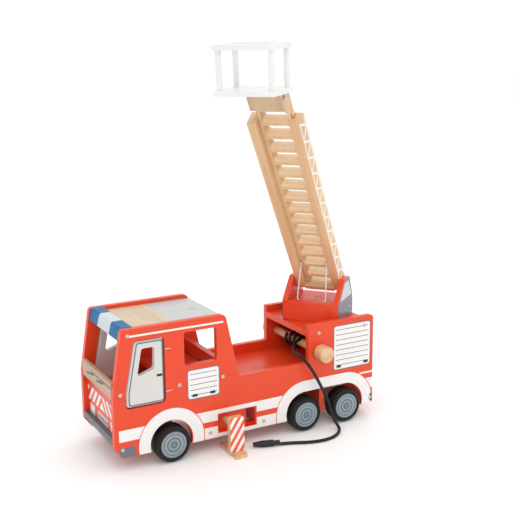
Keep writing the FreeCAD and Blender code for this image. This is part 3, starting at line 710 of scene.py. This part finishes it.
def ladder_prints():
    """White zigzag lattice between two lines on the outer face of each rail."""
    for side, sign in (("left", 1), ("right", -1)):
        across = LADDER_ACROSS * sign
        place = on_turned(LADDER_AXIS + across * RAIL_OUTER * MM, LADDER_ALONG, LADDER_UP, across)
        lines = [rectangle(RAIL_FROM, RAIL_TO, RAIL_HALF - RAIL_LINE, RAIL_HALF),
                 rectangle(RAIL_FROM, RAIL_TO, -RAIL_HALF, RAIL_LINE - RAIL_HALF)]
        flat_print(side + "_rail_lines", lines, place, "print_lattice", "ladder")
        pitch = (RAIL_TO - RAIL_FROM) / LATTICE_CELLS
        for slope, first, way, thick in ((1, 0, "up", 0.12), (-1, 1, "down", 0.14)):
            edge = slope * (RAIL_HALF - 1)
            bars = [stroke(RAIL_FROM + pitch * k, -edge, RAIL_FROM + pitch * (k + 1), edge, LATTICE_LINE)
                    for k in range(first, LATTICE_CELLS, 2)]
            flat_print(f"{side}_rail_lattice_{way}", bars, place, "print_lattice", "ladder",
                       thick * MM)


CHEEK_OUTER = 42.5
CHEEK = [(-33.6, 3.0), (-33.6, 29.0), (-3.6, 57.6), (17.8, 57.6), (33.6, 25.2), (33.6, 3.0)]
CABIN_GLASS = [(-27.0, 30.2), (29.0, 30.2), (15.6, 54.6), (-4.2, 54.6)]
CABIN_PANEL = [(-29.8, 6.2), (29.8, 6.2), (29.8, 24.0), (-29.8, 24.0)]


def cheek_prints():
    """Control cabin printed on the outer face of each turntable cheek."""
    body = "turntable"
    for side, sign in (("left", 1), ("right", -1)):
        across = LADDER_ACROSS * sign
        place = on_turned(SWIVEL + across * CHEEK_OUTER * MM, -HOUSE_AHEAD, Vector((0, 0, 1)), across)
        cabin = side + "_cabin"
        flat_print(cabin, [inset(CHEEK, 1.6, 2.5)], place, "print_grey", body, 0.08 * MM)
        flat_print(cabin + "_glass", [inset(CABIN_GLASS, 0.4, 1.6)], place, "print_glass", body,
                   0.12 * MM)
        flat_print(cabin + "_panel", [inset(CABIN_PANEL, 0.4, 1.6)], place, "print_dark", body,
                   0.12 * MM)
        flat_print(cabin + "_line", [rectangle(-31.6, 31.6, 26.2, 27.6)], place, "print_red", body,
                   0.12 * MM)
        middles = (-18.0, 0.0, 18.0)
        doors = [rectangle(u - 6.0, u + 6.0, 9.0, 19.0, 1.0) for u in middles]
        flat_print(cabin + "_doors", doors, place, "print_grey", body, 0.15 * MM)
        knobs = [arc(u, 14.0, 1.3, 0, 345, 23) for u in middles]
        flat_print(cabin + "_knobs", knobs, place, "print_pale", body, 0.18 * MM)


# ---------------------------------------------------------------- hose
HOSE_DIAMETER = 4.4
HOSE_FREE = [(16.0, 303.5, 118.6), (20.0, 291.5, 113.5), (33.0, 283.5, 107.5), (51.0, 278.5, 110.5),
             (67.5, 276.0, 110.5), (78.0, 280.0, 102.5), (80.0, 290.0, 86.0), (77.0, 303.0, 64.0),
             (75.6, 313.0, 46.0), (75.8, 318.5, 26.5), (80.0, 324.0, 9.5), (93.0, 324.5, 2.5),
             (108.0, 309.0, 2.5), (114.0, 287.0, 2.5), (108.5, 262.0, 2.5), (98.5, 242.5, 2.5),
             (93.0, 226.0, 2.5)]
TURNS = 3
TURN_POINTS = 14
COIL_RADIUS = 9.2
COIL_FROM, COIL_TO = -19.0, 15.0


def hose_points():
    """Three loose turns round the reel dowel, then the free end: x, mm behind FRONT, height."""
    reel = JOINTS["reel_spin"]["pos_m"]
    centre_y, centre_z = (reel[1] - FRONT) / MM, reel[2] / MM
    first = HOSE_FREE[0]
    leave = math.atan2(first[2] - centre_z, first[1] - centre_y)
    count = TURNS * TURN_POINTS
    points = []
    for k in range(count):
        share = k / count
        angle = leave - 2 * math.pi * TURNS * (1 - share)
        bunch = share + 0.035 * math.sin(2 * math.pi * TURNS * share + 0.6)
        radius = COIL_RADIUS + 0.25 * math.sin(5.0 * share)
        points.append((COIL_FROM + (COIL_TO - COIL_FROM) * bunch, centre_y + radius * math.cos(angle),
                       centre_z + radius * math.sin(angle)))
    return points + HOSE_FREE


def hose():
    points = [Vector((x * MM, FRONT + y * MM, z * MM)) for x, y, z in hose_points()]
    curve = bpy.data.curves.new("hose", "CURVE")
    curve.dimensions = "3D"
    spline = curve.splines.new("NURBS")
    spline.points.add(len(points) - 1)
    for point, p in zip(spline.points, points):
        point.co = (*p, 1)
    spline.order_u = 3
    spline.use_endpoint_u = True
    spline.resolution_u = 8
    curve.bevel_depth = HOSE_DIAMETER / 2 * MM
    curve.bevel_resolution = 6
    curve.use_fill_caps = True
    curve.materials.append(MATERIALS["hose"])
    piece = bpy.data.objects.new("hose", curve)
    bpy.context.scene.collection.objects.link(piece)
    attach(piece, "truck_body")
    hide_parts("hose_coil", "fire_hose")


# ---------------------------------------------------------------- wheels
AXLE_HOLE, WALL, ROUND_STEPS = 4.1, 6.4, 96


def wheel(axle, side, sign):
    """Rubber tyre round a printed disc; returns the tyre."""
    low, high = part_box(axle + "_wheels")
    centre = Vector((0, (low.y + high.y) / 2, (low.z + high.z) / 2))
    r = (high.z - low.z) / 2 / MM
    outer = high.x / MM
    hub = r - WALL
    body = axle + "_axle_body"
    tyre = [(AXLE_HOLE, outer - 22), (r - 2.6, outer - 22), (r - 0.9, outer - 21.3),
            (r - 0.15, outer - 19.8), (r - 0.15, outer - 8.9), (r - 0.3, outer - 8.3),
            (r - 1.25, outer - 7.9), (r - 1.35, outer - 7.0), (r - 1.2, outer - 6.3),
            (r - 0.35, outer - 5.9), (r - 0.3, outer - 5.0), (r - 0.9, outer - 2.9),
            (r - 2.0, outer - 1.3), (r - 3.4, outer - 0.5), (r - 4.8, outer - 0.15),
            (hub + 0.5, outer - 0.1), (hub + 0.1, outer - 0.5), (hub, outer - 1.2),
            (hub, outer - 3), (AXLE_HOLE, outer - 3)]
    tyre = [(a, sign * b) for a, b in tyre]
    piece = lathe(f"{side}_{axle}_tyre", tyre + tyre[:1], ROUND_STEPS, "tyre", body, centre)
    disc = [(0, outer - 1.1), (2.0, outer - 1.1), (hub - 0.9, outer - 1.1), (hub - 0.3, outer - 1.3),
            (hub - 0.05, outer - 1.8), (hub - 0.05, outer - 2.9), (0, outer - 2.9)]
    disc = [(a, sign * b) for a, b in disc]
    lathe(f"{side}_{axle}_disc", disc, ROUND_STEPS, "disc", body, centre)
    return piece


def wheels():
    for axle in ("front", "middle", "rear"):
        tyres = [wheel(axle, "left", 1), wheel(axle, "right", -1)]
        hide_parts(axle + "_wheels")


# ---------------------------------------------------------------- scene
def camera():
    """The camera stands ahead of the left side, a little above the cab roof."""
    azimuth, elevation, roll = math.radians(61.29), math.radians(12.52), math.radians(-0.57)
    data = bpy.data.cameras.new("camera")
    data.sensor_width = 36.0
    data.lens = 62.1
    data.clip_start = 0.05
    item = bpy.data.objects.new("camera", data)
    bpy.context.scene.collection.objects.link(item)
    back = Vector((math.sin(azimuth) * math.cos(elevation), -math.cos(azimuth) * math.cos(elevation),
                   math.sin(elevation)))
    right = Vector((math.cos(azimuth), math.sin(azimuth), 0))
    up = back.cross(right)
    across = right * math.cos(roll) + up * math.sin(roll)
    upright = up * math.cos(roll) - right * math.sin(roll)
    item.matrix_world = Matrix.Translation((1.0833, -0.5442, 0.5139)) @ Matrix(
        (across, upright, back)).transposed().to_4x4()
    bpy.context.scene.camera = item


def area_light(name, place, target, size, power):
    data = bpy.data.lights.new(name, "AREA")
    data.shape = "DISK"
    data.size = size
    data.energy = power
    item = bpy.data.objects.new(name, data)
    bpy.context.scene.collection.objects.link(item)
    item.location = place
    item.rotation_mode = "QUATERNION"
    item.rotation_quaternion = (Vector(target) - Vector(place)).to_track_quat("-Z", "Y")


def studio():
    world = bpy.data.worlds.new("studio")
    bpy.context.scene.world = world
    world.use_nodes = True
    tree = world.node_tree
    background = tree.nodes["Background"]
    place = tree.nodes.new("ShaderNodeTexCoord").outputs["Generated"]
    split = tree.nodes.new("ShaderNodeSeparateXYZ")
    tree.links.new(place, split.inputs[0])
    dim = tree.nodes.new("ShaderNodeMapRange")
    for socket, value in zip(dim.inputs[1:5], (-1.0, 0.25, 0.88, 1.04)):
        socket.default_value = value
    tree.links.new(split.outputs["Y"], dim.inputs["Value"])
    tree.links.new(dim.outputs["Result"], background.inputs["Strength"])
    background.inputs["Color"].default_value = (1.0, 0.995, 0.99, 1)
    area_light("key", (1.5, -0.6, 1.7), (0, 0, 0.15), 1.3, 5.5)
    area_light("top", (0.1, 0.2, 2.0), (0, 0, 0.1), 1.6, 4)
    work = bmesh.new()
    bmesh.ops.create_circle(work, cap_ends=True, segments=96, radius=40.0)
    mesh = bpy.data.meshes.new("floor")
    work.to_mesh(mesh)
    work.free()
    floor = bpy.data.objects.new("floor", mesh)
    bpy.context.scene.collection.objects.link(floor)
    s = Shader("pale_floor", roughness=0.75)
    tone = s.span(s.noise(s.place, 3), 0.3, 0.7, 0.99, 1.0)
    s.surface.inputs["Emission Color"].default_value = (1, 1, 1, 1)
    s.surface.inputs["Emission Strength"].default_value = 0.05
    mesh.materials.append(s.finish(s.mix(1.0, (0.97, 0.97, 0.97, 1), tone, "MULTIPLY")))
    bpy.context.scene.view_settings.view_transform = "Standard"


camera()
studio()
dress_nodes()
hose()
for side, sign in (("left", 1), ("right", -1)):
    side_prints(side, sign)
    door_prints(side, sign)
front_prints()
ladder_prints()
cheek_prints()
wheels()
